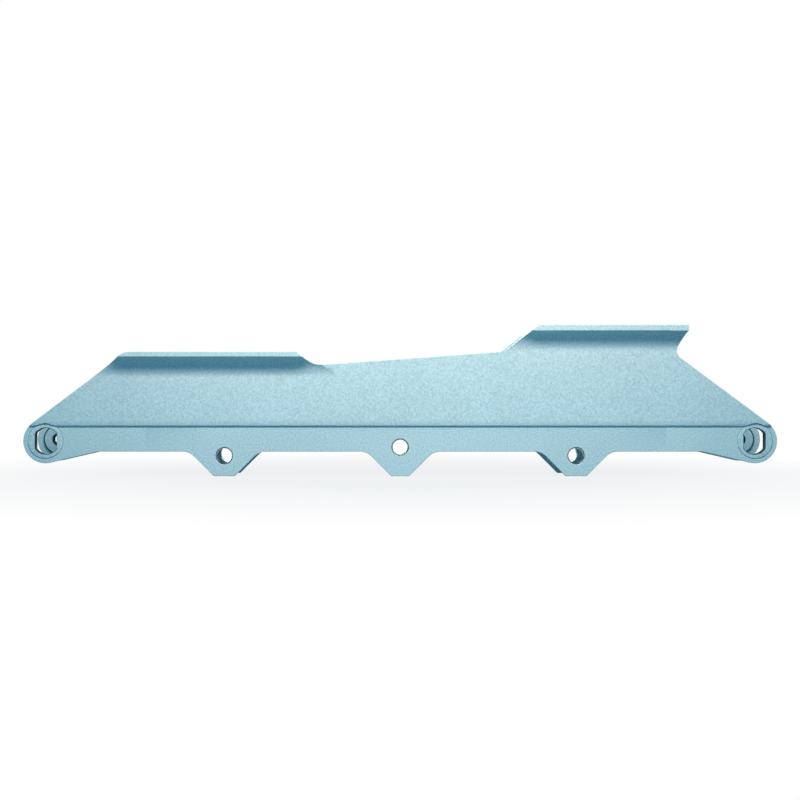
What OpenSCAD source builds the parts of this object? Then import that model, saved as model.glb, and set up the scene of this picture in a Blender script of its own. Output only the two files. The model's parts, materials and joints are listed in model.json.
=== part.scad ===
// Five-axle inline skate frame: two milled side plates joined by two mounting decks.
// X runs from toe to heel, Y across the frame and Z up. The lug feet stand on Z = 0.

/* [Axles] */
// Distance from each end axle to the next axle
end_pitch = 83.8; // [80:0.1:90]
// Distance between neighbouring inner axles
inner_pitch = 82.5; // [80:0.5:90]
// Height of the two end axle seats
end_axle_z = 16.45; // [15:0.05:20]
// Height of the second and fourth axles
low_axle_z = 9.5; // [9:0.1:12]
// Height of the middle axle
mid_axle_z = 13.5; // [11:0.1:16]
// Core diameter of the inner axle threads in the left plate
axle_thread_d = 7; // [6:0.1:7.4]
// Diameter of the plain inner axle holes in the right plate
axle_hole_d = 9; // [8.5:0.1:10]
// Core diameter of the end axle threads
end_thread_d = 5; // [4:0.1:6]
// Distance between the hub faces that hold a wheel
hub_gap = 24.4; // [22:0.1:28]
// Diameter of the hub faces
hub_d = 13; // [11.5:0.5:14]

/* [Side plates] */
// Height of the hub faces above the inside of the rail
hub_h = 1.6; // [1.4:0.1:2.4]
// Thickness of the lower rail
rail_t = 3; // [2.6:0.1:4.5]
// How far the upper wall stands out past the rail
wall_proud = 1.1; // [1:0.1:2]
// Height of the step between the rail and the upper wall
step_z = 23.6; // [21:0.1:27]
// Height of the lower edge of the rail
rail_z = 11.5; // [10:0.25:12.5]
// Radius of the round ends
end_boss_r = 10.4; // [10:0.1:12.5]
// Distance from an end axle to where the lower edge levels out
taper_run = 24.5; // [20:0.5:30]
// Width of the foot of the second and fourth lugs
lug_foot_w = 9.7; // [7:0.1:13]
// Width of the foot of the middle lug
mid_lug_foot_w = 8.4; // [7:0.1:13]
// Radius where a lug meets the rail
lug_r = 8; // [4:0.5:10]

/* [Decks] */
// Height of the front deck
front_deck_z = 58.1; // [56:0.1:66]
// Height of the rear deck above the front deck
heel_lift = 12.5; // [11:0.1:15]
// Front edge of the front deck
front_deck_start = -128.4; // [-134:0.2:-124]
// Rear edge of the front deck
front_deck_end = -48.4; // [-54:0.1:-46]
// Front edge of the rear deck
rear_deck_start = 64.2; // [60:0.2:68]
// Rear edge of the rear deck
rear_deck_end = 133.7; // [131:0.1:140]
// Slope of the ramps between the decks and the middle edge, in degrees
ramp_angle = 38.6; // [32:0.2:45]
// Height of the front ramp
front_ramp_drop = 6.2; // [5:0.1:8]
// Height of the rear ramp
rear_ramp_drop = 12.2; // [10:0.2:14]
// Radius at the foot of a ramp
ramp_r = 12; // [4:1:14]
// Depth of the notch behind the rear deck
notch_depth = 5.5; // [4:0.1:8]
// Distance from the rear deck down to the bottom of the notch
notch_drop = 12.9; // [11:0.1:14]
// Radius at the bottom of the notch
notch_r = 4.2; // [3:0.1:6]
// How far a deck flange stands out past the upper wall
flange_overhang = 6.8; // [5.6:0.1:9]
// Height of the front flange's outer edge
front_edge_h = 2.3; // [2:0.1:3.5]
// Height of the rear flange's outer edge
rear_edge_h = 2.7; // [2:0.1:3.5]
// Plan radius where the front flange runs out into the wall
run_out_r = 18; // [12:1:22]
// Thickness of a deck between the walls
deck_t = 6; // [5:0.1:7]
// Thickness of a deck's wings
wing_t = 2.5; // [2:0.1:3]
// How far a wing lies over the side plate
wing_overlap = 7.4; // [7.2:0.1:8]
// Distance between the front and rear mounting slots
mount_pitch = 195; // [190:1:198]
// Place of the front mounting slot
front_slot_x = -95; // [-100:1:-90]
// Width of a mounting slot
slot_w = 6.4; // [5:0.1:8]
// Length of a mounting slot across the deck
slot_l = 20; // [12:0.5:24]

/* [Deck screws] */
// Thread diameter of a deck screw
screw_d = 3; // [2.5:0.1:3.2]
// Head diameter of a deck screw
screw_head_d = 5.6; // [5:0.1:5.8]
// Length of a deck screw with its head
screw_l = 6; // [5:0.1:6.4]
// Distance from a deck's corners to its screws
screw_inset = 9; // [7:0.5:14]

/* [End bushes] */
// Diameter of a bush's flange
bush_flange_d = 16.4; // [16:0.1:17.4]
// Thickness of a bush's flange
bush_flange_t = 1.9; // [1.6:0.1:2.4]
// How far a bush's flange stands out past the rail
bush_proud = 0.3; // [0.2:0.1:0.8]
// Diameter of the window bush's body
window_body_d = 14.8; // [14.4:0.1:15]
// Height of the window
window_h = 12.3; // [10.5:0.1:12.4]
// Width of the window between its flats
window_w = 10; // [8.5:0.1:10.4]
// Radius where the window's flats meet its round
window_corner_r = 1.5; // [0.5:0.1:2.5]
// Diameter of the thread bush's body
thread_body_d = 13.2; // [12:0.1:13.6]
// How far the window and the thread lie off the bush's own centre, towards the middle
bush_offset = 0.3; // [0.1:0.05:0.4]
// Thickness of a retaining ring
ring_t = 0.8; // [0.6:0.05:0.9]
// Radial width of a retaining ring
ring_w = 1.2; // [1:0.1:2]

/* [Hidden] */
// Radial gap of a bush in its seat
running_fit = 0.05;
// Radial gap round a bush's flange
flange_gap = 0.1;
// Gap at the faces of a bush or ring that turn past the plate
face_gap = 0.1;
// Radial gap of a fixed insert, screw or ring in its hole
seat_fit = 0.02;
// Side gap of a deck between the plates
deck_gap = 0.05;
// Depth of a ring groove
ring_groove = 0.5;
// Gap left between the ends of a retaining ring
ring_mouth = 3;
// Wall of a wire thread insert round its core
insert_wall = 0.55;
// How far an insert sits inside its hole at both ends
insert_inset = 0.4;
// Across flats and depth of a screw's socket
screw_socket_af = 2;
screw_socket_depth = 1.1;
// Radial room round a screw in the deck
screw_room = 0.1;
// Room below the tip of a screw
screw_tip_room = 0.4;
// Place of the screws across a wing, as a share of its width
screw_share = 0.45;
// Angle that the round above the step turns through
step_turn = 12;
// Depth of the flat underside of the step
step_ledge = 0.8;
// Angle that the fillet under a flange turns through
fillet_turn = 71;
// How far a deck's end reaches along the ramp
deck_nose = 4;
// Corner radii of the outline
front_corner_r = 8;
deck_corner_r = 1.2;
flange_tip_r = 0.6;
foot_corner_r = 0.6;
taper_corner_r = 6;
// Distance from the end of the front ramp to the end of the flange's run-out
run_out_past_ramp = 12;
// How far ahead of the rear ramp its flange is started
flange_lead = 8;
// Past every side of the part
reach = 210;
// Angle between the points of an arc
arc_step = 5;
$fn = 72;

hub_y = hub_gap / 2;
rail_in = hub_y + hub_h;
rail_out = rail_in + rail_t;
wall_out = rail_out + wall_proud;
flange_out = wall_out + flange_overhang;
wing_out = rail_in + wing_overlap;
screw_y = rail_in + screw_share * wing_overlap;
rear_deck_z = front_deck_z + heel_lift;

end_axle_x = inner_pitch + end_pitch;
end_axles = [[-end_axle_x, end_axle_z], [end_axle_x, end_axle_z]];
low_axles = [[-inner_pitch, low_axle_z], [inner_pitch, low_axle_z]];
mid_axle = [0, mid_axle_z];
inner_axles = [low_axles[0], mid_axle, low_axles[1]];

front_ramp_end = front_deck_end + front_ramp_drop / tan(ramp_angle);
rear_ramp_start = rear_deck_start - rear_ramp_drop / tan(ramp_angle);
run_out_x = front_ramp_end + run_out_past_ramp;
notch = [rear_deck_end - notch_depth, rear_deck_z - notch_drop];
taper_x = end_axle_x - taper_run;

step_r = (wall_proud - step_ledge) / (1 - cos(step_turn));
fillet_r = flange_overhang / (1 - cos(fillet_turn));
fillet_h = fillet_r * sin(fillet_turn);

bush_out = rail_out + bush_proud;
seat_floor_y = bush_out - bush_flange_t;
ring_outer_y = rail_in - face_gap;
ring_inner_y = ring_outer_y - ring_t;
insert_hole_r = axle_thread_d / 2 + insert_wall;

aluminium = "#a9cfda";
steel = "#8c9196";
spring_steel = "#2b4650";

// Vector of length one along v
function unit(v) = v / norm(v);

// Where the line through p along d meets the line through q along e
function meet(p, d, q, e) = p + d * cross(q - p, e) / cross(d, e);

// Where the line from q touches the circle round c, on the left or right seen from c
function touch(c, r, q, side) =
    let (a = atan2(q.y - c.y, q.x - c.x) + side * acos(r / norm(q - c)))
    c + r * [cos(a), sin(a)];

// Points from one angle to another round a centre
function arc(c, r, first, turn) =
    let (steps = max(1, ceil(abs(turn) / arc_step)))
    [for (i = [0:steps]) c + r * [cos(first + turn * i / steps), sin(first + turn * i / steps)]];

// All points but the first
function tail(points) = [for (i = [1:len(points) - 1]) points[i]];

// Points that round the corner p, between its neighbours, with radius r
function corner(before, p, after, r) =
    let (
        u = unit(before - p),
        v = unit(after - p),
        half = acos(u * v) / 2,
        centre = p + unit(u + v) * r / sin(half),
        start = p + u * r / tan(half) - centre
    )
    arc(centre, r, atan2(start.y, start.x), (180 - 2 * half) * sign(cross(v, u)));

// Closed outline with rounded corners, each given as [x, z, radius]
function rounded(path) =
    let (n = len(path), at = [for (p = path) [p.x, p.y]])
    [for (i = [0:n - 1]) each corner(at[(i + n - 1) % n], at[i], at[(i + 1) % n], path[i].z)];

// Sharp corner outside a round end, where its two tangent edges meet
function end_corner(c, top, low, side) =
    let (a = touch(c, end_boss_r, top, side), b = touch(c, end_boss_r, low, -side))
    concat(meet(a, a - top, b, b - low), end_boss_r);

// Corners of a lug with 45 degree flanks
function lug(x, foot_w) = [
    [x - foot_w / 2 - rail_z, rail_z, lug_r],
    [x - foot_w / 2, 0, foot_corner_r],
    [x + foot_w / 2, 0, foot_corner_r],
    [x + foot_w / 2 + rail_z, rail_z, lug_r]
];

// Side view of the frame in X and Z
outline = rounded(concat(
    [
        [front_deck_end, front_deck_z, deck_corner_r],
        [front_deck_start, front_deck_z, front_corner_r],
        end_corner(end_axles[0], [front_deck_start, front_deck_z], [-taper_x, rail_z], 1),
        [-taper_x, rail_z, taper_corner_r]
    ],
    lug(low_axles[0].x, lug_foot_w),
    lug(mid_axle.x, mid_lug_foot_w),
    lug(low_axles[1].x, lug_foot_w),
    [
        [taper_x, rail_z, taper_corner_r],
        end_corner(end_axles[1], notch, [taper_x, rail_z], -1),
        [notch.x, notch.y, notch_r],
        [rear_deck_end, rear_deck_z - rear_edge_h, flange_tip_r],
        [rear_deck_end, rear_deck_z, flange_tip_r],
        [rear_deck_start, rear_deck_z, deck_corner_r],
        [rear_ramp_start, rear_deck_z - rear_ramp_drop, ramp_r],
        [front_ramp_end, front_deck_z - front_ramp_drop, ramp_r]
    ]
));

// Section of a plate in Y and Z: flat inside, with a round and a step outside under the upper wall
step_centre = [wall_out - step_r, step_z + step_r * sin(step_turn)];
wall_section = concat(
    [[rail_in, -reach], [rail_out, -reach], [rail_out, step_z]],
    arc(step_centre, step_r, -step_turn, step_turn),
    [[wall_out, reach], [rail_in, reach]]
);

// Section of a flange in Y and Z, with the fillet under it
function flange_section(top, edge_h) =
    let (low = top - edge_h - fillet_h, root = (rail_in + wall_out) / 2)
    concat(
        [[root, low]],
        arc([wall_out + fillet_r, low], fillet_r, 180, -fillet_turn),
        [[flange_out, top + edge_h], [root, top + edge_h]]
    );

// Section of a deck in Y and Z: a block between the walls, and a wing over each plate
function deck_section(top) =
    let (block = rail_in - deck_gap, wing = wing_out - deck_gap, high = top + deck_t)
    [
        [-block, top - deck_t], [block, top - deck_t], [block, top - wing_t], [wing, top - wing_t],
        [wing, high], [-wing, high], [-wing, top - wing_t], [-block, top - wing_t]
    ];

module x_prism(section, from, to) {
    translate([from, 0, 0]) rotate([90, 0, 90]) linear_extrude(to - from) polygon(section);
}

module y_prism(from, to) {
    translate([0, to, 0]) rotate([90, 0, 0]) linear_extrude(to - from) children();
}

module y_rod(at, r, from, to) {
    translate([at.x, from, at.y]) rotate([-90, 0, 0]) cylinder(r = r, h = to - from);
}

// Places of a deck's screws along X
function screw_places(start, end) = [start + screw_inset, end - screw_inset];
front_screws = screw_places(front_deck_start, front_deck_end);
rear_screws = screw_places(rear_deck_start, rear_deck_end);

// Seat of a deck's wing, and the holes for its screws
module wing_seat(top, from, to, screws) {
    translate([from, hub_y, top - wing_t]) cube([to - from, wing_out - hub_y, 2 * wing_t]);
    for (x = screws)
        translate([x, screw_y, top - screw_l - screw_tip_room])
            cylinder(r = screw_d / 2 + seat_fit, h = screw_l);
}

// Front flange, with its rear end run out into the wall by a round cutter
module front_flange() {
    difference() {
        x_prism(flange_section(front_deck_z, front_edge_h), -reach, run_out_x);
        translate([run_out_x, wall_out + run_out_r, 0]) cylinder(r = run_out_r, h = reach);
    }
}

// The plate on the +Y side, with its deck seats
module plate_blank() {
    difference() {
        intersection() {
            union() {
                x_prism(wall_section, -reach, reach);
                front_flange();
                x_prism(flange_section(rear_deck_z, rear_edge_h), rear_ramp_start - flange_lead, reach);
            }
            y_prism(0, reach) polygon(outline);
        }
        wing_seat(front_deck_z, -reach, front_deck_end + deck_nose, front_screws);
        wing_seat(rear_deck_z, rear_deck_start - deck_nose, reach, rear_screws);
    }
}

// Stepped hole in which a bush turns
module bush_seat(at, body_d) {
    y_rod(at, body_d / 2 + running_fit, 0, reach);
    y_rod(at, bush_flange_d / 2 + flange_gap, seat_floor_y, reach);
}

// The plate on the +Y side, with its hub faces, axle holes and end seats
module plate(hole_r, body_d) {
    color(aluminium) difference() {
        union() {
            plate_blank();
            for (at = inner_axles) y_rod(at, hub_d / 2, hub_y, rail_in + rail_t / 2);
        }
        for (at = inner_axles) y_rod(at, hole_r, 0, reach);
        for (at = end_axles) bush_seat(at, body_d);
    }
}

module left_side_plate() { mirror([0, 1, 0]) plate(insert_hole_r, window_body_d); }
module right_side_plate() { plate(axle_hole_d / 2, thread_body_d); }

// Deck with one mounting slot across it
module deck(top, from, to, slot_x, screws) {
    slot_run = (slot_l - slot_w) / 2;
    color(aluminium) difference() {
        intersection() {
            x_prism(deck_section(top), from, to);
            y_prism(-reach, reach) polygon(outline);
        }
        translate([slot_x - slot_w / 2, -slot_run, 0]) cube([slot_w, 2 * slot_run, reach]);
        for (y = [-slot_run, slot_run]) translate([slot_x, y, 0]) cylinder(d = slot_w, h = reach);
        for (x = screws, side = [-1, 1])
            translate([x, side * screw_y, top]) screw_sink();
    }
}

module front_deck() {
    deck(front_deck_z, -reach, front_deck_end + deck_nose, front_slot_x, front_screws);
}

module rear_deck() {
    deck(rear_deck_z, rear_deck_start - deck_nose, reach, front_slot_x + mount_pitch, rear_screws);
}

// Countersunk form below the deck's face, with extra radius all round
module screw_form(extra) {
    cone_h = (screw_head_d - screw_d) / 2;
    translate([0, 0, -screw_l]) cylinder(r = screw_d / 2 + extra, h = screw_l - cone_h / 2);
    translate([0, 0, -cone_h]) cylinder(r1 = screw_d / 2 + extra, r2 = screw_head_d / 2 + extra, h = cone_h);
}

// Countersunk hole for a screw, open above the face
module screw_sink() {
    screw_form(screw_room);
    cylinder(r = screw_head_d / 2 + screw_room, h = deck_t);
}

// Four countersunk screws of one deck
module deck_screws(top, screws) {
    color(steel) for (x = screws, side = [-1, 1])
        translate([x, side * screw_y, top]) difference() {
            screw_form(0);
            translate([0, 0, -screw_socket_depth])
                cylinder(d = screw_socket_af / cos(30), h = screw_l, $fn = 6);
        }
}

module front_deck_screws() { deck_screws(front_deck_z, front_screws); }
module rear_deck_screws() { deck_screws(rear_deck_z, rear_screws); }

// Wire thread insert, wound into its hole in the left plate
module axle_insert(at) {
    color(steel) mirror([0, 1, 0]) difference() {
        y_rod(at, insert_hole_r - seat_fit, hub_y + insert_inset, rail_out - insert_inset);
        y_rod(at, axle_thread_d / 2, 0, reach);
    }
}

module axle_2_insert() { axle_insert(inner_axles[0]); }
module axle_3_insert() { axle_insert(inner_axles[1]); }
module axle_4_insert() { axle_insert(inner_axles[2]); }

// Flanged bush on the +Y side, with a groove for its retaining ring
module bush_blank(at, body_d) {
    difference() {
        union() {
            y_rod(at, body_d / 2, hub_y, bush_out);
            y_rod(at, bush_flange_d / 2, seat_floor_y + face_gap, bush_out);
        }
        difference() {
            y_rod(at, body_d, ring_inner_y - seat_fit, ring_outer_y + seat_fit);
            y_rod(at, body_d / 2 - ring_groove, 0, reach);
        }
    }
}

// Middle of a bush's window or thread, off the middle of its seat
function off_centre(at) = [at.x - sign(at.x) * bush_offset, at.y];

// Middle of the window's first corner, and the angle at which it meets the round
window_corner = let (x = window_w / 2 - window_corner_r)
    [x, sqrt(pow(window_h / 2 - window_corner_r, 2) - x * x)];
corner_turn = atan2(window_corner.y, window_corner.x);

// Upper half of the window, from its right flat over the round to its left flat
window_half = concat(
    arc(window_corner, window_corner_r, 0, corner_turn),
    tail(arc([0, 0], window_h / 2, corner_turn, 180 - 2 * corner_turn)),
    tail(arc([-window_corner.x, window_corner.y], window_corner_r, 180 - corner_turn, corner_turn))
);

// Bush with a two-flat window, on the left plate
module window_bush(at) {
    color(aluminium) mirror([0, 1, 0]) difference() {
        bush_blank(at, window_body_d);
        y_prism(0, reach) translate(off_centre(at)) polygon(concat(window_half, -window_half));
    }
}

// Bush with a thread for the end axle, on the right plate
module thread_bush(at) {
    color(aluminium) difference() {
        bush_blank(at, thread_body_d);
        y_rod(off_centre(at), end_thread_d / 2, 0, reach);
    }
}

module front_window_bush() { window_bush(end_axles[0]); }
module rear_window_bush() { window_bush(end_axles[1]); }
module front_thread_bush() { thread_bush(end_axles[0]); }
module rear_thread_bush() { thread_bush(end_axles[1]); }

// Open retaining ring on the +Y side, with its mouth at the bottom
module retaining_ring(at, body_d) {
    inner_r = body_d / 2 - ring_groove + seat_fit;
    color(spring_steel) difference() {
        y_rod(at, inner_r + ring_w, ring_inner_y, ring_outer_y);
        y_rod(at, inner_r, 0, reach);
        translate([at.x - ring_mouth / 2, 0, at.y - body_d]) cube([ring_mouth, reach, body_d]);
    }
}

module front_window_ring() { mirror([0, 1, 0]) retaining_ring(end_axles[0], window_body_d); }
module rear_window_ring() { mirror([0, 1, 0]) retaining_ring(end_axles[1], window_body_d); }
module front_thread_ring() { retaining_ring(end_axles[0], thread_body_d); }
module rear_thread_ring() { retaining_ring(end_axles[1], thread_body_d); }

left_side_plate();
right_side_plate();
front_deck();
rear_deck();
front_deck_screws();
rear_deck_screws();
axle_2_insert();
axle_3_insert();
axle_4_insert();
front_window_bush();
rear_window_bush();
front_thread_bush();
rear_thread_bush();
front_window_ring();
rear_window_ring();
front_thread_ring();
rear_thread_ring();
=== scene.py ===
# %% [markdown]
# # Dressing an inline skate frame
# The object is the bare frame of a five-wheel inline skate: two milled aluminium plates, two decks for
# the boot, and small turned parts in the axle holes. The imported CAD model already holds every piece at
# its real size, so this lesson only gives it its looks. Blender could also remodel everything, but then
# sizes would drift away from the CAD.

import json
import math

import bmesh
import bpy
import numpy as np
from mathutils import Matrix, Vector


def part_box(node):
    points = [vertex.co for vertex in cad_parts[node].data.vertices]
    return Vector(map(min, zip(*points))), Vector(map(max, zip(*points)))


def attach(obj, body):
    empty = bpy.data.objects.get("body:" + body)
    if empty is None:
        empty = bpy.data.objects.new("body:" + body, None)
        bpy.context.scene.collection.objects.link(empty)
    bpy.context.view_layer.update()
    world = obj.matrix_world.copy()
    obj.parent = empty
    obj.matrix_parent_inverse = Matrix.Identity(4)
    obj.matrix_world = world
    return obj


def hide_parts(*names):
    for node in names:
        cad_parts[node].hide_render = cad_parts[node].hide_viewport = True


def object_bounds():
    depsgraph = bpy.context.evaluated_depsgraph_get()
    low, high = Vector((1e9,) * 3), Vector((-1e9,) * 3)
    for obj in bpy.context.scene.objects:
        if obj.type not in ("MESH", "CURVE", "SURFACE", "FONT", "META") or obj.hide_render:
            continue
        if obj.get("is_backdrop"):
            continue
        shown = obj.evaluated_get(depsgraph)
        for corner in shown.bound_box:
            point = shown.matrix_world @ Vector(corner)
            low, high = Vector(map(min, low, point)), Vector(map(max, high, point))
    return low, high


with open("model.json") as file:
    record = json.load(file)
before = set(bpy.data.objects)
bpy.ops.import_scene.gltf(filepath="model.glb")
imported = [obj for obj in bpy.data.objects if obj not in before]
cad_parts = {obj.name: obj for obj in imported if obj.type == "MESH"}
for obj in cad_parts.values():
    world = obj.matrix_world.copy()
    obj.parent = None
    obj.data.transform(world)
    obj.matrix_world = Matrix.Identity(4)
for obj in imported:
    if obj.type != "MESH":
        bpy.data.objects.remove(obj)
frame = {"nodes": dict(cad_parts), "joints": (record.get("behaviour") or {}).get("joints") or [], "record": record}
cad_box = [list(corner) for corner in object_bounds()]
record = frame["record"]
MM = 0.001
print("CAD box in mm:", [[round(v / MM, 1) for v in corner] for corner in cad_box])

# %% [markdown]
# ## Places
# Every small part sits round an axis that the record already states, either as a joint or as a mount.
# Reading the axes from there is safer than typing them again, because a later change of the CAD then
# moves the looks with it.

# %% Read the axes from the record
joint_at = {joint["name"]: np.array(joint["pos_m"]) for joint in frame["joints"]}
mount_at = {mount["name"]: np.array(mount["pos_m"]) for mount in record["mounts"]}
print("joints:", sorted(joint_at))
print("mounts:", sorted(mount_at))

# %% [markdown]
# ## Two helpers for materials
# Colours are given as sRGB hex values, but Cycles computes with linear light, so one function
# converts them. A second small function adds a node, sets its options, and fills each input with a number
# or a link. With it a material reads as a list of what feeds what.

# %% Colour and node helpers
def linear(hex_colour):
    """Turns an sRGB hex colour into linear red, green, blue and a full alpha."""
    srgb = np.array([int(hex_colour[i:i + 2], 16) for i in (1, 3, 5)]) / 255
    low, high = srgb / 12.92, ((srgb + 0.055) / 1.055) ** 2.4
    return [*np.where(srgb <= 0.04045, low, high).tolist(), 1.0]


def add_node(tree, kind, settings, inputs):
    """Adds a node, sets its options, and links or sets each named or numbered input."""
    node = tree.nodes.new(kind)
    for name, value in settings.items():
        setattr(node, name, value)
    for name, value in inputs.items():
        if isinstance(value, bpy.types.NodeSocket):
            tree.links.new(value, node.inputs[name])
        else:
            node.inputs[name].default_value = value
    return node


def new_material(name):
    """Makes an empty node material and returns it with its node tree."""
    material = bpy.data.materials.new(name)
    material.use_nodes = True
    material.node_tree.nodes.clear()
    return material, material.node_tree


print("sky blue in linear light:", [round(v, 3) for v in linear("#a3cedb")])

# %% [markdown]
# ## Blue anodised aluminium, bead-blasted
# The plates and decks are milled from aluminium, blasted with fine glass beads and then anodised in a
# dyed bath. The blasting leaves millions of tiny dimples, so the metal shows no mirror image: it looks
# soft, almost like matt paint, with a fine sparkle of light and dark grains. A fully metallic shader
# would mirror the white studio and lose the dark hollows under the decks. So the dyed oxide is treated
# mostly as a diffuse colour, which scatters light as the real dimples do, and only a small part of the
# metal shows through.

# %% Material of the plates and decks
grain_mm = 0.8        # real dimples are near 0.1 mm; drawn coarser so that the grain shows
dimple_mm = 0.35      # also drawn coarser than the real dimples
cloud_mm = 40.0       # slow drift of the dye across a plate
dark_grain = "#a9cad0"
light_grain = "#c7e8ee"
metal_share = 0.05    # share of the bare metal's reflection
surface_gloss = 0.08  # specular level of the blasted oxide, far below the usual 0.5


def colour_dye(ramp):
    """Sets a colour ramp from the dark grains of the blasted, dyed oxide to its light grains."""
    ramp.color_ramp.elements[0].position = 0.3
    ramp.color_ramp.elements[0].color = linear(dark_grain)
    ramp.color_ramp.elements[1].position = 0.7
    ramp.color_ramp.elements[1].color = linear(light_grain)


def blasted_blue_anodised():
    """Dye colour with fine grain and slow drift, a rough surface, and dimples as bump."""
    material, tree = new_material("blasted_blue_anodised_aluminium")
    place = add_node(tree, "ShaderNodeTexCoord", {}, {}).outputs["Object"]
    grain = add_node(tree, "ShaderNodeTexNoise", {}, {
        "Vector": place, "Scale": 1 / (grain_mm * MM), "Detail": 2.0, "Roughness": 0.6})
    cloud = add_node(tree, "ShaderNodeTexNoise", {}, {
        "Vector": place, "Scale": 1 / (cloud_mm * MM), "Detail": 2.0})
    dye = add_node(tree, "ShaderNodeValToRGB", {}, {"Fac": grain.outputs["Fac"]})
    colour_dye(dye)
    drift = add_node(tree, "ShaderNodeMapRange", {}, {
        "Value": cloud.outputs["Fac"], "From Min": 0.3, "From Max": 0.7,
        "To Min": 0.97, "To Max": 1.03})
    tint = add_node(tree, "ShaderNodeHueSaturation", {}, {
        "Color": dye.outputs["Color"], "Value": drift.outputs["Result"]})
    gloss = add_node(tree, "ShaderNodeMapRange", {}, {
        "Value": grain.outputs["Fac"], "From Min": 0.3, "From Max": 0.7,
        "To Min": 0.46, "To Max": 0.58})
    dimples = add_node(tree, "ShaderNodeTexNoise", {}, {
        "Vector": place, "Scale": 1 / (dimple_mm * MM), "Detail": 1.0})
    bump = add_node(tree, "ShaderNodeBump", {}, {
        "Height": dimples.outputs["Fac"], "Strength": 0.3, "Distance": 0.03 * MM})
    shader = add_node(tree, "ShaderNodeBsdfPrincipled", {}, {
        "Base Color": tint.outputs["Color"], "Metallic": metal_share,
        "Roughness": gloss.outputs["Result"], "Specular IOR Level": surface_gloss,
        "Normal": bump.outputs["Normal"]})
    add_node(tree, "ShaderNodeOutputMaterial", {}, {"Surface": shader.outputs["BSDF"]})
    return material


plate_finish = blasted_blue_anodised()
print("material:", plate_finish.name, "with", len(plate_finish.node_tree.nodes), "nodes")

# %% [markdown]
# ## Blue anodised aluminium, turned
# The bushes come off a lathe and get the same blasting and the same blue bath. Very fine tool rings stay
# under the grain. An Object-coordinate pattern would run straight across them, so the rings read each
# part's own UV map, where V counts millimetres along the turned profile.

# %% Material of the turned parts
tool_ring_mm = 0.4    # real feed marks are near 0.1 mm; drawn coarser so that close views show them
wave_unit = 0.314     # wave scale that puts one ring on each unit of V


def turned_blue_anodised():
    """The dye and grain of the plates, with faint rings along the profile as bump and roughness."""
    material, tree = new_material("turned_blue_anodised_aluminium")
    coordinates = add_node(tree, "ShaderNodeTexCoord", {}, {})
    place = coordinates.outputs["Object"]
    grain = add_node(tree, "ShaderNodeTexNoise", {}, {
        "Vector": place, "Scale": 1 / (grain_mm * MM), "Detail": 2.0, "Roughness": 0.6})
    dye = add_node(tree, "ShaderNodeValToRGB", {}, {"Fac": grain.outputs["Fac"]})
    colour_dye(dye)
    rings = add_node(tree, "ShaderNodeTexWave", {"bands_direction": "Y"}, {
        "Vector": coordinates.outputs["UV"], "Scale": wave_unit / tool_ring_mm, "Distortion": 0.4})
    gloss = add_node(tree, "ShaderNodeMapRange", {}, {
        "Value": rings.outputs["Fac"], "To Min": 0.46, "To Max": 0.54})
    bump = add_node(tree, "ShaderNodeBump", {}, {
        "Height": rings.outputs["Fac"], "Strength": 0.15, "Distance": 0.01 * MM})
    shader = add_node(tree, "ShaderNodeBsdfPrincipled", {}, {
        "Base Color": dye.outputs["Color"], "Metallic": metal_share,
        "Roughness": gloss.outputs["Result"], "Specular IOR Level": surface_gloss,
        "Normal": bump.outputs["Normal"]})
    add_node(tree, "ShaderNodeOutputMaterial", {}, {"Surface": shader.outputs["BSDF"]})
    return material


turned_finish = turned_blue_anodised()
print("material:", turned_finish.name, "with", len(turned_finish.node_tree.nodes), "nodes")

# %% [markdown]
# ## Blue anodised aluminium, bored, with painted shade
# The walls of the windows and threads are cut with a boring tool, which leaves fine rings. Their colour is
# painted shade: a deep teal, almost black, that stands in for the shade inside the holes. A metallic shader
# would mirror the white studio at such low angles and look pale. So the inner walls get dull painted shade with
# fine rings.

# %% Material of the bored walls
bore_ring_mm = 0.25   # real feed marks are finer; drawn coarser so that close views show them
# painted shade: these near-black teals stand in for the shade inside the holes, and the tool rings step between
# them
painted_shade_dark, painted_shade_light = "#12323e", "#1f4a58"


def bore_walls_painted_shade():
    """Painted shade for the bore walls: near-black teal whose colour and gloss change in fine rings."""
    material, tree = new_material("bored_aluminium_painted_shade")
    length = add_node(tree, "ShaderNodeTexCoord", {}, {}).outputs["UV"]
    rings = add_node(tree, "ShaderNodeTexWave", {"bands_direction": "Y"}, {
        "Vector": length, "Scale": wave_unit / bore_ring_mm, "Distortion": 0.6})
    teal = add_node(tree, "ShaderNodeValToRGB", {}, {"Fac": rings.outputs["Fac"]})
    teal.color_ramp.elements[0].color = linear(painted_shade_dark)
    teal.color_ramp.elements[1].color = linear(painted_shade_light)
    gloss = add_node(tree, "ShaderNodeMapRange", {}, {
        "Value": rings.outputs["Fac"], "To Min": 0.6, "To Max": 0.7})
    shader = add_node(tree, "ShaderNodeBsdfPrincipled", {}, {
        "Base Color": teal.outputs["Color"], "Metallic": metal_share,
        "Roughness": gloss.outputs["Result"], "Specular IOR Level": surface_gloss})
    add_node(tree, "ShaderNodeOutputMaterial", {}, {"Surface": shader.outputs["BSDF"]})
    return material


bore_painted_shade = bore_walls_painted_shade()
print("material:", bore_painted_shade.name)

# %% [markdown]
# ## Stainless steel and blued spring steel
# The deck screws and the wire of the thread inserts are stainless steel: a true metal, grey, with a soft
# polish and faint scuffs. The retaining rings are spring steel, blued by heat: a dark blue-grey with a
# dull gloss that wears lighter in specks. A plain grey paint would look flat from the side, so both stay
# fully metallic and keep the shader's usual IOR, and noise breaks up their gloss.

# %% Materials of the steel parts
scuff_mm = 1.2        # size of the scuffs on a screw head
speck_mm = 0.5        # size of the worn specks on a ring
dark_steel, light_steel = "#9a9ea2", "#c4c8cb"
blued_steel, worn_steel = "#1f424f", "#4d6f7c"


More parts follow.
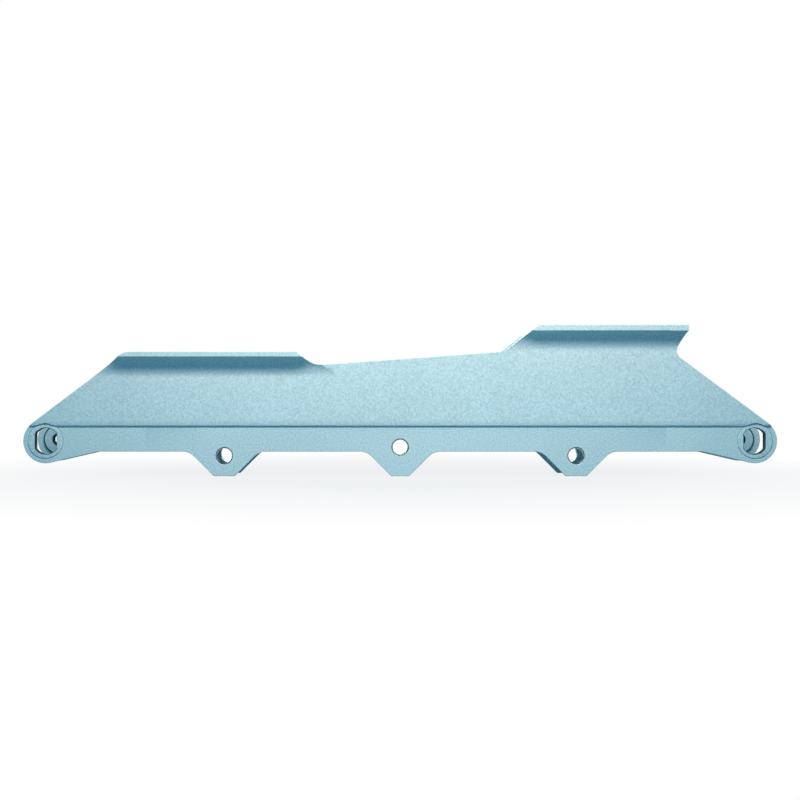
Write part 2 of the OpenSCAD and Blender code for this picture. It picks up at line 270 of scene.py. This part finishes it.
def tumbled_stainless():
    """Grey metal whose roughness changes in small scuffs."""
    material, tree = new_material("tumbled_stainless_steel")
    place = add_node(tree, "ShaderNodeTexCoord", {}, {}).outputs["Object"]
    scuffs = add_node(tree, "ShaderNodeTexNoise", {}, {
        "Vector": place, "Scale": 1 / (scuff_mm * MM), "Detail": 4.0, "Roughness": 0.7})
    grey = add_node(tree, "ShaderNodeValToRGB", {}, {"Fac": scuffs.outputs["Fac"]})
    grey.color_ramp.elements[0].color = linear(dark_steel)
    grey.color_ramp.elements[1].color = linear(light_steel)
    gloss = add_node(tree, "ShaderNodeMapRange", {}, {
        "Value": scuffs.outputs["Fac"], "To Min": 0.22, "To Max": 0.42})
    bump = add_node(tree, "ShaderNodeBump", {}, {
        "Height": scuffs.outputs["Fac"], "Strength": 0.1, "Distance": 0.02 * MM})
    shader = add_node(tree, "ShaderNodeBsdfPrincipled", {}, {
        "Base Color": grey.outputs["Color"], "Metallic": 1.0, "Roughness": gloss.outputs["Result"],
        "Normal": bump.outputs["Normal"]})
    add_node(tree, "ShaderNodeOutputMaterial", {}, {"Surface": shader.outputs["BSDF"]})
    return material


def blued_spring_steel():
    """Dark blue-grey metal with lighter worn specks."""
    material, tree = new_material("blued_spring_steel")
    place = add_node(tree, "ShaderNodeTexCoord", {}, {}).outputs["Object"]
    specks = add_node(tree, "ShaderNodeTexNoise", {}, {
        "Vector": place, "Scale": 1 / (speck_mm * MM), "Detail": 3.0, "Roughness": 0.65})
    blue = add_node(tree, "ShaderNodeValToRGB", {}, {"Fac": specks.outputs["Fac"]})
    blue.color_ramp.elements[0].position = 0.45
    blue.color_ramp.elements[0].color = linear(blued_steel)
    blue.color_ramp.elements[1].position = 0.8
    blue.color_ramp.elements[1].color = linear(worn_steel)
    gloss = add_node(tree, "ShaderNodeMapRange", {}, {
        "Value": specks.outputs["Fac"], "To Min": 0.5, "To Max": 0.36})
    bump = add_node(tree, "ShaderNodeBump", {}, {
        "Height": specks.outputs["Fac"], "Strength": 0.15, "Distance": 0.02 * MM})
    shader = add_node(tree, "ShaderNodeBsdfPrincipled", {}, {
        "Base Color": blue.outputs["Color"], "Metallic": 1.0, "Roughness": gloss.outputs["Result"],
        "Normal": bump.outputs["Normal"]})
    add_node(tree, "ShaderNodeOutputMaterial", {}, {"Surface": shader.outputs["BSDF"]})
    return material


steel_finish = tumbled_stainless()
ring_finish = blued_spring_steel()
print("materials:", steel_finish.name, "and", ring_finish.name)

# %% [markdown]
# ## Plates and decks
# The milled plates and decks already have the right shape in the CAD, with perfectly sharp edges. On the
# real frame a machinist breaks every edge by a few tenths of a millimetre, and that thin bevel catches
# the light and makes the part look solid. A remodel would risk the fit, so each piece is a copy of its
# CAD node, with its loose triangles merged and its flat areas joined into single faces. A face can't have
# a hole in it, so the mesh is first cut through the middle of every hole. A Bevel modifier then breaks
# the outer edges. Edges of very narrow faces have no room for it and get no bevel weight. Where short
# edges meet, the bevel can still fold a face over its neighbour, so the bevelled shape is looked through
# for folds and the edges beside them stay sharp. Clamping the bevel would avoid folds too, but it would
# thin all bevels of a piece at once. Last, a Weighted Normal modifier keeps large faces evenly shaded.

# %% Copy a CAD node and break its edges
edge_break_mm = 0.2
merge_mm = 0.001
flat_angle = math.radians(0.3)
sharp_angle = math.radians(28)
fold_limit = -0.985   # two neighbours whose normals agree less than this lie on top of each other
fold_area_mm2 = 0.01  # smaller folds than this don't show
fold_reach_mm = 0.45  # edges this near to a fold lose their bevel
fold_rounds = 8
head_r_mm = 2.8       # head of a deck screw


def hole_places():
    """X of the middle of every hole, from the joints, the mounts and the boxes of the screws."""
    places = [at[0] for at in joint_at.values()]
    places += [at[0] for name, at in mount_at.items() if name.endswith(("_bore", "_slot"))]
    for node in ("front_deck_screws", "rear_deck_screws"):
        low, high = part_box(node)
        places += [low[0] + head_r_mm * MM, high[0] - head_r_mm * MM]
    return sorted({round(x, 6) for x in places})


def cut_through_holes(work):
    """Cuts a mesh at every hole's middle, across X, and marks the cuts as seams so that they stay."""
    for x in hole_places():
        everything = [*work.verts, *work.edges, *work.faces]
        cut = bmesh.ops.bisect_plane(work, geom=everything, plane_co=(x, 0, 0), plane_no=(1, 0, 0))
        for edge in cut["geom_cut"]:
            if isinstance(edge, bmesh.types.BMEdge):
                edge.seam = True


def finish_piece(piece, nodes, body, slot, *materials):
    for material in materials:
        piece.data.materials.append(material)
    piece.data.shade_smooth()
    piece.data.set_sharp_from_angle(angle=sharp_angle)
    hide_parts(*nodes)
    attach(piece, body)
    return piece


def room_beside(edge, face):
    """How far a face reaches inwards from one of its edges; corners beyond the edge don't count."""
    loop = next(loop for loop in face.loops if loop.edge == edge)
    start = np.array(loop.vert.co)
    along = np.array(loop.link_loop_next.vert.co) - start
    inward = np.cross(face.normal, along) / np.linalg.norm(along)
    return ((np.array([corner.co for corner in face.verts]) - start) @ inward).max()


def weigh_edges(work):
    """Gives full bevel weight to every sharp outward edge whose two faces leave room for the bevel."""
    weight = work.edges.layers.float.new("bevel_weight_edge")
    room = 2 * edge_break_mm * MM
    sharp = [edge for edge in work.edges if len(edge.link_faces) == 2 and edge.is_convex
             and edge.calc_face_angle(0) > sharp_angle]
    for edge in sharp:
        edge[weight] = float(min(room_beside(edge, face) for face in edge.link_faces) > room)


def folded_corners(piece):
    """Corners of every face of the bevelled shape that lies folded onto a neighbour."""
    shape = piece.evaluated_get(bpy.context.evaluated_depsgraph_get())
    work = bmesh.new()
    work.from_mesh(shape.to_mesh())
    bmesh.ops.triangulate(work, faces=work.faces)
    work.normal_update()
    corners = []
    for edge in work.edges:
        if len(edge.link_faces) == 2:
            small, large = sorted(edge.link_faces, key=lambda face: face.calc_area())
            shows = small.calc_area() > fold_area_mm2 * MM ** 2
            if shows and small.normal.dot(large.normal) < fold_limit:
                corners += [list(corner.co) for corner in small.verts]
    work.free()
    shape.to_mesh_clear()
    return np.array(corners)


def spare_folds(piece):
    """Takes the bevel weight off the edges beside a fold, again and again until nothing folds."""
    mesh = piece.data
    places = np.array([corner.co for corner in mesh.vertices])
    start, end = places[np.array([edge.vertices for edge in mesh.edges]).T]
    along = end - start
    weight = np.zeros(len(mesh.edges), np.float32)
    mesh.attributes["bevel_weight_edge"].data.foreach_get("value", weight)
    bevelled = np.count_nonzero(weight)
    for _ in range(fold_rounds):
        corners = folded_corners(piece)
        if not len(corners):
            break
        for corner in corners:
            share = np.clip(((corner - start) * along).sum(1) / (along ** 2).sum(1), 0, 1)
            gap = np.linalg.norm(start + share[:, None] * along - corner, axis=1)
            weight[gap < fold_reach_mm * MM] = 0
        mesh.attributes["bevel_weight_edge"].data.foreach_set("value", weight)
        mesh.update()
    return bevelled - np.count_nonzero(weight), bevelled


def milled_copy(node):
    """Merges a CAD node's loose triangles, joins its flat faces, and bevels its sharp edges."""
    mesh = frame["nodes"][node].data.copy()
    work = bmesh.new()
    work.from_mesh(mesh)
    bmesh.ops.remove_doubles(work, verts=work.verts, dist=merge_mm * MM)
    cut_through_holes(work)
    bmesh.ops.dissolve_limit(work, angle_limit=flat_angle, verts=work.verts, edges=work.edges,
                             delimit={"SEAM"})
    weigh_edges(work)
    work.to_mesh(mesh)
    work.free()
    mesh.materials.clear()
    piece = bpy.data.objects.new("milled_" + node, mesh)
    bpy.context.scene.collection.objects.link(piece)
    finish_piece(piece, [node], "frame", "anodised_plate", plate_finish)
    bevel = piece.modifiers.new("broken_edges", "BEVEL")
    bevel.width = edge_break_mm * MM
    bevel.segments = 2
    bevel.limit_method = "WEIGHT"
    bevel.use_clamp_overlap = False
    shading = piece.modifiers.new("even_faces", "WEIGHTED_NORMAL")
    shading.weight = 90
    shading.keep_sharp = True
    spared, bevelled = spare_folds(piece)
    left = len(folded_corners(piece))
    print(piece.name, "keeps", spared, "of", bevelled, "edges sharp; folds left:", left)
    return piece


print("holes in mm:", [round(x / MM, 1) for x in hole_places()])
milled_nodes = ("left_side_plate", "right_side_plate", "front_deck", "rear_deck")
milled = [milled_copy(name) for name in milled_nodes]
for piece in milled:
    print(piece.name, len(piece.data.polygons), "faces before the bevel")

# %% [markdown]
# ## One helper for turned shapes
# Bushes, inserts, rings and screws are all grids: one direction runs round an axis and the other along a
# profile. Spin and screw modifiers could sweep them too, but leave open seams. Only the positions differ
# from part to part, so one function takes a whole array of points and turns it into a closed mesh.
# Doubled points at a pole or seam are merged, and the faces are then turned outwards.

# %% Grid of points to a closed mesh
def grid_object(name, points, profile_mm, close_round, close_profile, inside_from=None):
    """Joins each point of a (round, profile, xyz) array to its neighbours with quads, and keeps a UV map.

    U runs from 0 to 1 round the axis, and V is the length along the profile in millimetres. Faces from
    the profile step inside_from on, all but the last, take the piece's second material.
    """
    around, along = points.shape[:2]
    rows, columns = np.arange(around - (not close_round)), np.arange(along - (not close_profile))
    i, j = np.meshgrid(rows, columns, indexing="ij")
    i_next, j_next = (i + 1) % around, (j + 1) % along
    quads = np.stack([i * along + j, i_next * along + j,
                      i_next * along + j_next, i * along + j_next], axis=-1)
    mesh = bpy.data.meshes.new(name)
    mesh.from_pydata(points.reshape(-1, 3).tolist(), [], quads.reshape(-1, 4).tolist())
    lengths = np.append(profile_mm, profile_mm[-1] + profile_mm[1] - profile_mm[0])
    u = np.stack([i, i + 1, i + 1, i], axis=-1) / around
    v = lengths[np.stack([j, j, j + 1, j + 1], axis=-1)]
    mesh.uv_layers.new(name="profile_uv").uv.foreach_set("vector", np.stack([u, v], axis=-1).ravel())
    if inside_from is not None:
        inside = (j >= inside_from) & (j < along - 1)
        mesh.polygons.foreach_set("material_index", inside.astype(np.int32).ravel())
    work = bmesh.new()
    work.from_mesh(mesh)
    bmesh.ops.remove_doubles(work, verts=work.verts, dist=merge_mm * MM)
    bmesh.ops.recalc_face_normals(work, faces=work.faces)
    work.to_mesh(mesh)
    work.free()
    piece = bpy.data.objects.new(name, mesh)
    bpy.context.scene.collection.objects.link(piece)
    return piece


def path_length(radius, depth):
    """Running length along a profile given by its radii and depths."""
    return np.concatenate([[0.0], np.cumsum(np.hypot(np.diff(radius), np.diff(depth)))])


print("grid helper ready")

# %% [markdown]
# ## Window bushes
# Each end axle runs in a flanged bush that can be turned in its round seat, which shifts the axle a
# little. The near bush has a window with two flats that stops the axle from turning. A boolean cut would
# give it, but the window is easy to write as a radius for each angle: the distance to a flat, to a small
# corner circle, or to the large round.

# %% Build the two window bushes
hub_y_mm = 12.2           # hub faces, from the middle of the frame
bush_l_mm = 4.9           # from a hub face to the outside of the flange, which stands a little proud
flange_l_mm = 1.8
flange_r_mm = 8.2
flange_edge_r_mm = 0.3    # round edge of the flange
flange_edge_steps = 4
window_steps = (12, 8, 36, 8)   # points on a flat, a corner, the large round and the next corner
round_row = 30            # a row of the grid that lies on the large round
groove_mm = (0.68, 1.52)  # from the inner end to the sides of the ring groove
groove_depth_mm = 0.5
bush_offset_mm = 0.3      # window and thread off the bush's middle, towards the middle of the frame
chamfer_mm = 0.25
window_body_r_mm = 7.4
window_r_mm = 6.15
window_half_w_mm = 5.0
window_corner_r_mm = 1.5
window_corner_x_mm = window_half_w_mm - window_corner_r_mm
window_corner_z_mm = math.sqrt((window_r_mm - window_corner_r_mm) ** 2 - window_corner_x_mm ** 2)


def bush_outside(body_r):
    """Radii and depths of a flanged bush's outside, from its inner end to its outer face."""
    c, e, r, f, g = chamfer_mm, flange_edge_r_mm, body_r, flange_r_mm, body_r - groove_depth_mm
    (near, far), end = groove_mm, bush_l_mm
    start = end - flange_l_mm
    turn = np.linspace(0, math.pi / 2, flange_edge_steps + 1)
    radius = [r - c, r, r, g, g, r, r, f, *(f - e + e * np.cos(turn))]
    depth = [0, c, near, near, far, far, start, start, *(end - e + e * np.sin(turn))]
    return np.array(radius, float), np.array(depth, float)


def window_radius(angle, extra):
    """Distance from the window's middle to its edge, wider by extra all round.

    Up to the end of a flat it is the flat's distance over the cosine. Beside it a ray meets the corner's
    circle, and from the angle of the corner's middle on it is the radius of the large round.
    """
    across, up = np.abs(np.cos(angle)), np.abs(np.sin(angle))
    flat = (window_half_w_mm + extra) / np.maximum(across, 1e-6)
    towards = window_corner_x_mm * across + window_corner_z_mm * up
    off_ray = window_corner_z_mm * across - window_corner_x_mm * up
    corner = towards + np.sqrt(np.maximum((window_corner_r_mm + extra) ** 2 - off_ray ** 2, 0))
    on_flat = flat * up <= window_corner_z_mm
    return np.where(on_flat, flat, np.where(off_ray >= 0, corner, window_r_mm + extra))


def place_round(axis_mm, side, angle, radius, depth, inward):
    """Points round an axis along Y: radius at an angle, moved inward in X, at a depth from the hub face."""
    x = axis_mm[0] - np.sign(axis_mm[0]) * inward + radius * np.cos(angle)
    y = np.broadcast_to(side * (hub_y_mm + depth), x.shape)
    z = axis_mm[2] + radius * np.sin(angle)
    return np.stack([x, y, z], axis=-1) * MM


def window_bush(node, body, joint):
    """Closed grid: the bush's outside all the way round, then back along the window's chamfered wall."""
    flat_end = math.atan2(window_corner_z_mm, window_half_w_mm)
    round_start = math.atan2(window_corner_z_mm, window_corner_x_mm)
    stops = [-flat_end, flat_end, round_start, math.pi - round_start, math.pi - flat_end]
    half = np.concatenate([np.linspace(a, b, n, endpoint=False)
                           for a, b, n in zip(stops[:-1], stops[1:], window_steps)])
    angle = np.concatenate([half, half + math.pi])[:, None]
    outside_r, outside_d = bush_outside(window_body_r_mm)
    rim = np.array([chamfer_mm, 0, 0, chamfer_mm])
    rim_d = np.array([bush_l_mm, bush_l_mm - chamfer_mm, chamfer_mm, 0])
    outside = np.broadcast_to(outside_r, (len(angle), len(outside_r)))
    radius = np.hstack([outside, window_radius(angle, rim)])
    depth = np.concatenate([outside_d, rim_d])
    inward = np.where(np.arange(len(depth)) < len(outside_d), 0.0, bush_offset_mm)
    points = place_round(joint_at[joint] / MM, -1, angle, radius, depth, inward)
    piece = grid_object("turned_" + node, points, path_length(radius[round_row], depth), True, True,
                        len(outside_d))
    # the window's wall takes the bore's painted shade
    return finish_piece(piece, [node], body, "anodised_bush", turned_finish, bore_painted_shade)


window_bushes = [
    window_bush("front_window_bush", "front_left_bush", "front_window_bush_turn"),
    window_bush("rear_window_bush", "rear_left_bush", "rear_window_bush_turn"),
]
print("window bushes:", [len(piece.data.polygons) for piece in window_bushes], "faces")

# %% [markdown]
# ## Threaded bushes
# The end axles screw into bushes on the far side. A screw modifier could sweep a tooth, but it leaves an
# open end at each face. Written as a radius that depends on both angle and depth, the thread is one
# closed surface: a tooth that moves on by one pitch with each turn, cut away by a cone at either end.

# %% Build the threaded bushes
thread_body_r_mm = 6.6
end_thread_mm = (2.5, 3.0, 1.0)      # core radius, outer radius and pitch
tooth_gain, tooth_flat = 1.3, 0.15   # steepness of a tooth's flanks, and the share cut off its tip
turn_steps = 96
pitch_steps = 12


def thread_radius(angle, depth, thread):
    """A triangle wave in depth, moved on one pitch a turn, with flat tops and a cone at both ends."""
    core, outer, pitch = thread
    phase = depth / pitch - angle / (2 * math.pi)
    tooth = np.clip(tooth_gain * np.abs(2 * (phase - np.floor(phase)) - 1) - tooth_flat, 0, 1)
    cone = outer + chamfer_mm - np.minimum(depth, bush_l_mm - depth)
    return np.maximum(core + (outer - core) * tooth, cone)


def thread_bush(node, body):
    """Closed grid: the bush's outside all the way round, then back through the thread."""
    angle = np.linspace(0, 2 * math.pi, turn_steps, endpoint=False)[:, None]
    outside_r, outside_d = bush_outside(thread_body_r_mm)
    thread_d = np.linspace(bush_l_mm, 0, int(bush_l_mm / end_thread_mm[2] * pitch_steps))
    inside_r = thread_radius(angle, thread_d, end_thread_mm)
    radius = np.hstack([np.broadcast_to(outside_r, (turn_steps, len(outside_r))), inside_r])
    depth = np.concatenate([outside_d, thread_d])
    inward = np.where(np.arange(len(depth)) < len(outside_d), 0.0, bush_offset_mm)
    points = place_round(joint_at[node + "_turn"] / MM, 1, angle, radius, depth, inward)
    piece = grid_object("turned_" + node, points, path_length(radius[0], depth), True, True,
                        len(outside_d))
    # the thread takes the bore's painted shade
    return finish_piece(piece, [node], body, "anodised_bush", turned_finish, bore_painted_shade)


thread_bushes = [
    thread_bush("front_thread_bush", "front_right_bush"),
    thread_bush("rear_thread_bush", "rear_right_bush"),
]
print("thread bushes:", [len(piece.data.polygons) for piece in thread_bushes], "faces")

# %% [markdown]
# ## Wire thread inserts
# The inner axles screw into the near plate. Threads in aluminium wear out, so each hole is lined with a
# coil of diamond-shaped stainless wire, whose inner edge is the thread. A textured tube would show no
# thread from the side. So the wire is a diamond carried along a helix, and it shrinks to a point at both
# ends to close the coil.

# %% Build the three wire coils
coil_core_mm = 3.5
coil_outer_mm = 4.03
coil_pitch_mm = 1.0
coil_ends_mm = (0.9, 3.7)       # first and last middle of the wire, out from the hub face
coil_gap_mm = 0.04
tip_steps = 4


def wire_coil(number):
    """A diamond section along a helix: depth grows one pitch a turn, and both tips shrink to a point."""
    turns = (coil_ends_mm[1] - coil_ends_mm[0]) / coil_pitch_mm
    angle = np.linspace(0, 2 * math.pi * turns, int(turns * turn_steps))[:, None]
    middle_d = coil_ends_mm[0] + coil_pitch_mm * angle / (2 * math.pi)
    from_tip = np.minimum(np.arange(len(angle)), np.arange(len(angle))[::-1])[:, None]
    grow = np.sin(np.clip(from_tip / tip_steps, 0, 1) * math.pi / 2)
    middle_r, half_r = (coil_core_mm + coil_outer_mm) / 2, (coil_outer_mm - coil_core_mm) / 2
    half_d = (coil_pitch_mm - coil_gap_mm) / 2
    section_r = np.array([-1.0, -0.85, 0.0, 1.0, 0.0, -0.85]) * half_r
    section_d = np.array([0.0, 0.12, 1.0, 0.0, -1.0, -0.12]) * half_d
    radius = middle_r + section_r * grow
    depth = middle_d + section_d * grow
    points = place_round(mount_at[f"axle_{number}_thread"] / MM, -1, angle, radius, depth, 0.0)
    node = f"axle_{number}_insert"
    piece = grid_object("wound_" + node, points, path_length(section_r, section_d), False, True)
    return finish_piece(piece, [node], "frame", "steel", steel_finish)


coils = [wire_coil(number) for number in (2, 3, 4)]
print("wire coils:", [len(piece.data.polygons) for piece in coils], "faces")

# %% [markdown]
# ## Retaining rings
# An open ring of flat spring wire snaps into the groove of each bush and keeps it in the plate. A torus
# would be round and closed, but the real ring is flat and has a mouth to spring open. So a rectangle with
# softened corners is carried round from one side of the mouth to the other, and it shrinks to a point
# there, which closes and rounds the ends.

# %% Build the four rings
ring_w_mm = 1.2
ring_t_mm = 0.8
ring_inner_end_mm = 0.7     # from the hub face
ring_mouth_mm = 3.0
ring_soft_mm = 0.12
ring_fit_mm = 0.02          # play of a ring in its groove
ring_steps = 121
end_steps = 6


def retaining_ring(node, body, joint, side, body_r):
    """A softened rectangle turned at one radius through all but the mouth, with both ends shrunk shut."""
    middle_r = body_r - groove_depth_mm + ring_fit_mm + ring_w_mm / 2
    span = math.pi - math.asin((ring_mouth_mm / 2 + ring_soft_mm) / middle_r)
    ends = np.linspace(0, math.pi / 2, end_steps)
    soft_turn = ring_soft_mm / middle_r
    turn = np.concatenate([-span - soft_turn * np.cos(ends), np.linspace(-span, span, ring_steps)[1:-1],
                           span + soft_turn * np.sin(ends)])[:, None]
    grow = np.concatenate([np.sin(ends), np.ones(ring_steps - 2), np.cos(ends)])[:, None]
    s, w, t = ring_soft_mm, ring_w_mm / 2, ring_t_mm / 2
    section_r = np.array([s - w, -w, -w, s - w, w - s, w, w, w - s])
    section_d = np.array([-t, s - t, t - s, t, t, t - s, s - t, -t])
    radius = middle_r + section_r * grow
    depth = ring_inner_end_mm + t + section_d * grow
    points = place_round(joint_at[joint] / MM, side, math.pi / 2 + turn, radius, depth, 0.0)
    piece = grid_object("formed_" + node, points, path_length(section_r, section_d), False, True)
    return finish_piece(piece, [node], body, "spring_steel", ring_finish)


rings = []
for end in ("front", "rear"):
    rings.append(retaining_ring(f"{end}_window_ring", f"{end}_left_bush", f"{end}_window_bush_turn",
                                -1, window_body_r_mm))
    rings.append(retaining_ring(f"{end}_thread_ring", f"{end}_right_bush", f"{end}_thread_bush_turn",
                                1, thread_body_r_mm))
print("rings:", {piece.name: len(piece.data.polygons) for piece in rings})

# %% [markdown]
# ## Deck screws
# Four countersunk screws with a hexagon socket hold each deck. The socket's wall is again a radius for
# each angle, and the profile runs from the tip up the shank and over the head, then down into the socket.
# The same array of points is moved to all four places at once, so a deck's screws are one mesh.

# %% Build both sets of screws
screw_r_mm = 1.5
screw_l_mm = 6.0
cone_h_mm = 1.3
socket_af_mm = 2.0
socket_depth_mm = 1.1
socket_steps = 8
rim_mm = 0.1
tip_mm = 0.3              # chamfer at the tip, and the cone at the bottom of the socket


def hexagon_radius(angle, across_flats):
    """Distance from the middle of a hexagon to its edge, with a corner at angle zero."""
    from_flat = np.mod(angle, math.pi / 3) - math.pi / 6
    return across_flats / 2 / np.cos(from_flat)


def deck_screws(node):
    """One screw as a grid of angle and profile, copied to the four corners of the node's box."""
    angle = np.linspace(0, 2 * math.pi, 6 * socket_steps, endpoint=False)[:, None]
    edge_r = head_r_mm - rim_mm
    shank, low_end = screw_r_mm, -screw_l_mm
    shaft_r = np.array([0, shank - tip_mm, shank, shank, edge_r, edge_r, edge_r - rim_mm])
    shaft_z = np.array([low_end, low_end, low_end + tip_mm, -cone_h_mm, -rim_mm, -rim_mm / 2, 0])
    socket_z = np.array([0, -rim_mm, -socket_depth_mm])
    socket_r = hexagon_radius(angle, socket_af_mm + np.array([2 * rim_mm, 0, 0]))
    ones = np.ones((len(angle), 1))
    radius = np.hstack([ones * shaft_r, socket_r, ones * 0.0])
    height = np.concatenate([shaft_z, socket_z, [-socket_depth_mm - tip_mm]])
    one = np.stack([radius * np.cos(angle), radius * np.sin(angle), ones * height], axis=-1) * MM
    low, high = (np.array(corner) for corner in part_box(node))
    left, right = low + head_r_mm * MM, high - head_r_mm * MM
    middles = [(x, y, high[2]) for x in (left[0], right[0]) for y in (left[1], right[1])]
    parts = [grid_object(f"{node}_{n}", one + np.array(at), path_length(radius[0], height), True, False)
             for n, at in enumerate(middles)]
    work = bmesh.new()
    for part in parts:
        work.from_mesh(part.data)
        bpy.data.objects.remove(part)
    mesh = bpy.data.meshes.new("headed_" + node)
    work.to_mesh(mesh)
    work.free()
    piece = bpy.data.objects.new("headed_" + node, mesh)
    bpy.context.scene.collection.objects.link(piece)
    return finish_piece(piece, [node], "frame", "steel", steel_finish)


screws = [deck_screws("front_deck_screws"), deck_screws("rear_deck_screws")]
print("screws:", {piece.name: len(piece.data.polygons) for piece in screws})

# %% [markdown]
# ## Floor and surroundings
# The frame is shown on plain white. A white floor under strong lamps would also do it, but it would throw
# light up into the hollows under the decks. So the floor is a quiet matt sheet. Where the camera looks at
# it directly, most of its colour is lifted to white, all of it further away, and the rest still takes the
# soft shadow round the feet. The world does the same: white where it is seen or mirrored, and a quiet
# cool tone where it only adds light.

# %% Floor and world
floor_half_m = 3.0
floor_tone = "#55788c"
floor_lift = 0.85         # share of white round the feet
lift_from_m, lift_to_m = 0.1, 0.3
ambient_tone = "#34dcff"
ambient = 0.5


def seen_directly(tree):
    """One where a ray comes from the camera, a mirror image or glass, else zero."""
    path = add_node(tree, "ShaderNodeLightPath", {}, {})
    two = add_node(tree, "ShaderNodeMath", {"operation": "MAXIMUM"}, {
        0: path.outputs["Is Camera Ray"], 1: path.outputs["Is Glossy Ray"]})
    three = add_node(tree, "ShaderNodeMath", {"operation": "MAXIMUM"}, {
        0: two.outputs["Value"], 1: path.outputs["Is Transmission Ray"]})
    return three.outputs["Value"]


def pale_floor():
    """A matt floor that looks mostly white near the feet and all white further away."""
    material, tree = new_material("pale_matt_floor")
    place = add_node(tree, "ShaderNodeTexCoord", {}, {}).outputs["Object"]
    away = add_node(tree, "ShaderNodeVectorMath", {"operation": "LENGTH"}, {0: place})
    lift = add_node(tree, "ShaderNodeMapRange", {}, {
        "Value": away.outputs["Value"], "From Min": lift_from_m, "From Max": lift_to_m,
        "To Min": floor_lift})
    share = add_node(tree, "ShaderNodeMath", {"operation": "MULTIPLY"}, {
        0: seen_directly(tree), 1: lift.outputs["Result"]})
    matt = add_node(tree, "ShaderNodeBsdfDiffuse", {}, {"Color": linear(floor_tone)})
    white = add_node(tree, "ShaderNodeEmission", {}, {"Color": linear("#ffffff"), "Strength": 1.0})
    both = add_node(tree, "ShaderNodeMixShader", {}, {
        "Fac": share.outputs["Value"], 1: matt.outputs["BSDF"], 2: white.outputs["Emission"]})
    add_node(tree, "ShaderNodeOutputMaterial", {}, {"Surface": both.outputs["Shader"]})
    return material


floor_mesh = bpy.data.meshes.new("floor")
corners = np.array([[-1, -1, 0], [1, -1, 0], [1, 1, 0], [-1, 1, 0]]) * floor_half_m
floor_mesh.from_pydata(corners.tolist(), [], [[0, 1, 2, 3]])
floor_mesh.materials.append(pale_floor())
floor = bpy.data.objects.new("floor", floor_mesh)
bpy.context.scene.collection.objects.link(floor)
floor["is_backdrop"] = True

world = bpy.data.worlds.new("studio")
bpy.context.scene.world = world
world.use_nodes = True
sky = world.node_tree
sky.nodes.clear()
quiet = add_node(sky, "ShaderNodeBackground", {}, {"Color": linear(ambient_tone), "Strength": ambient})
bright = add_node(sky, "ShaderNodeBackground", {}, {"Color": linear("#ffffff"), "Strength": 1.0})
studio = add_node(sky, "ShaderNodeMixShader", {}, {
    "Fac": seen_directly(sky), 1: quiet.outputs["Background"], 2: bright.outputs["Background"]})
add_node(sky, "ShaderNodeOutputWorld", {}, {"Surface": studio.outputs["Shader"]})
print("floor", 2 * floor_half_m, "m wide, ambient light", ambient)

# %% [markdown]
# ## Light
# The shade under the front flange gives the lamp away: for a flange as deep as the CAD's, its soft edge
# falls where light comes down at 41 to 54 degrees. The walls darken quickly towards the feet, so the lamp
# is close, and more slowly towards the ends, so it is wide. One long soft lamp a fifth of a metre away
# gives both. A sun lamp would light all heights alike. The dark places are bluer than the lit ones, so
# the lamp is warm and the fill cool. A low lamp behind lights the far side without bleaching the decks.

# %% Lamps
def soft_lamp(name, at, aim, width, height, power, tone):
    """An area lamp at a place, turned towards a point, level along its width, and hidden from view."""
    lamp = bpy.data.lights.new(name, "AREA")
    lamp.shape = "RECTANGLE"
    lamp.size = width
    lamp.size_y = height
    lamp.energy = power
    lamp.color = linear(tone)[:3]
    holder = bpy.data.objects.new(name, lamp)
    bpy.context.scene.collection.objects.link(holder)
    ahead = np.array(aim) - np.array(at)
    holder.location = at
    tilt = math.acos(-ahead[2] / np.linalg.norm(ahead))
    holder.rotation_euler = (tilt, 0, math.atan2(-ahead[0], ahead[1]))
    holder.visible_camera = False
    return holder


lamp_height = math.radians(47.6)
lamp_reach_m = 0.22
lit_edge = np.array([0.005, -0.0247, 0.0555])
warm_white = "#ffe7dc"
key_size_m, key_power_w = (0.33, 0.05), 0.98
back_size_m, back_power_w = (0.6, 0.3), 7.5
back_place_m, back_aim_m = (-0.2, 0.9, 0.2), (0.0, 0.0, 0.03)
toward_lamp = np.array([0, -math.cos(lamp_height), math.sin(lamp_height)])
key_place = lit_edge + lamp_reach_m * toward_lamp
soft_lamp("key_lamp", key_place, lit_edge, *key_size_m, key_power_w, warm_white)
soft_lamp("back_lamp", back_place_m, back_aim_m, *back_size_m, back_power_w, warm_white)

# %% [markdown]
# ## Camera
# The picture was taken square on to the near plate, level with the middle of the image. The axle holes
# give its scale, 0.4687 mm a pixel on the near rail. For the width chosen in the CAD, what shows of the
# far plate through the holes gives the distance, and puts the camera a little towards the toe. A turned
# camera would make the far end smaller, so the camera looks straight ahead and a small shift brings the
# frame back to the middle.

# %% Camera
image_px = 800
mm_per_px = 0.4687
distance_m = 0.70
rail_face_m = 0.0168      # outside of the near rail, from the middle of the frame
eye_x_m, eye_z_m = -0.015, 0.0357
middle_x_m = -0.0001

camera_data = bpy.data.cameras.new("camera")
camera_data.angle = 2 * math.atan(image_px * mm_per_px * MM / 2 / distance_m)
camera = bpy.data.objects.new("camera", camera_data)
camera_data.shift_x = (middle_x_m - eye_x_m) / (image_px * mm_per_px * MM)
camera.location = (eye_x_m, -rail_face_m - distance_m, eye_z_m)
camera.rotation_euler = (math.pi / 2, 0, 0)
bpy.context.scene.collection.objects.link(camera)
bpy.context.scene.camera = camera
bpy.context.scene.view_settings.view_transform = "Standard"
print("field of view:", round(math.degrees(camera_data.angle), 2), "degrees")

# %% [markdown]
# ## Size of the looks
# The looks should not make the part bigger than its CAD, so their box is compared with the CAD's.

# %% Compare the boxes and finish
visual_box = [list(corner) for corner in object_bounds()]
growth = np.array(visual_box) - np.array(cad_box)
print("visual box minus CAD box in mm:", np.round(growth / MM, 2).tolist())
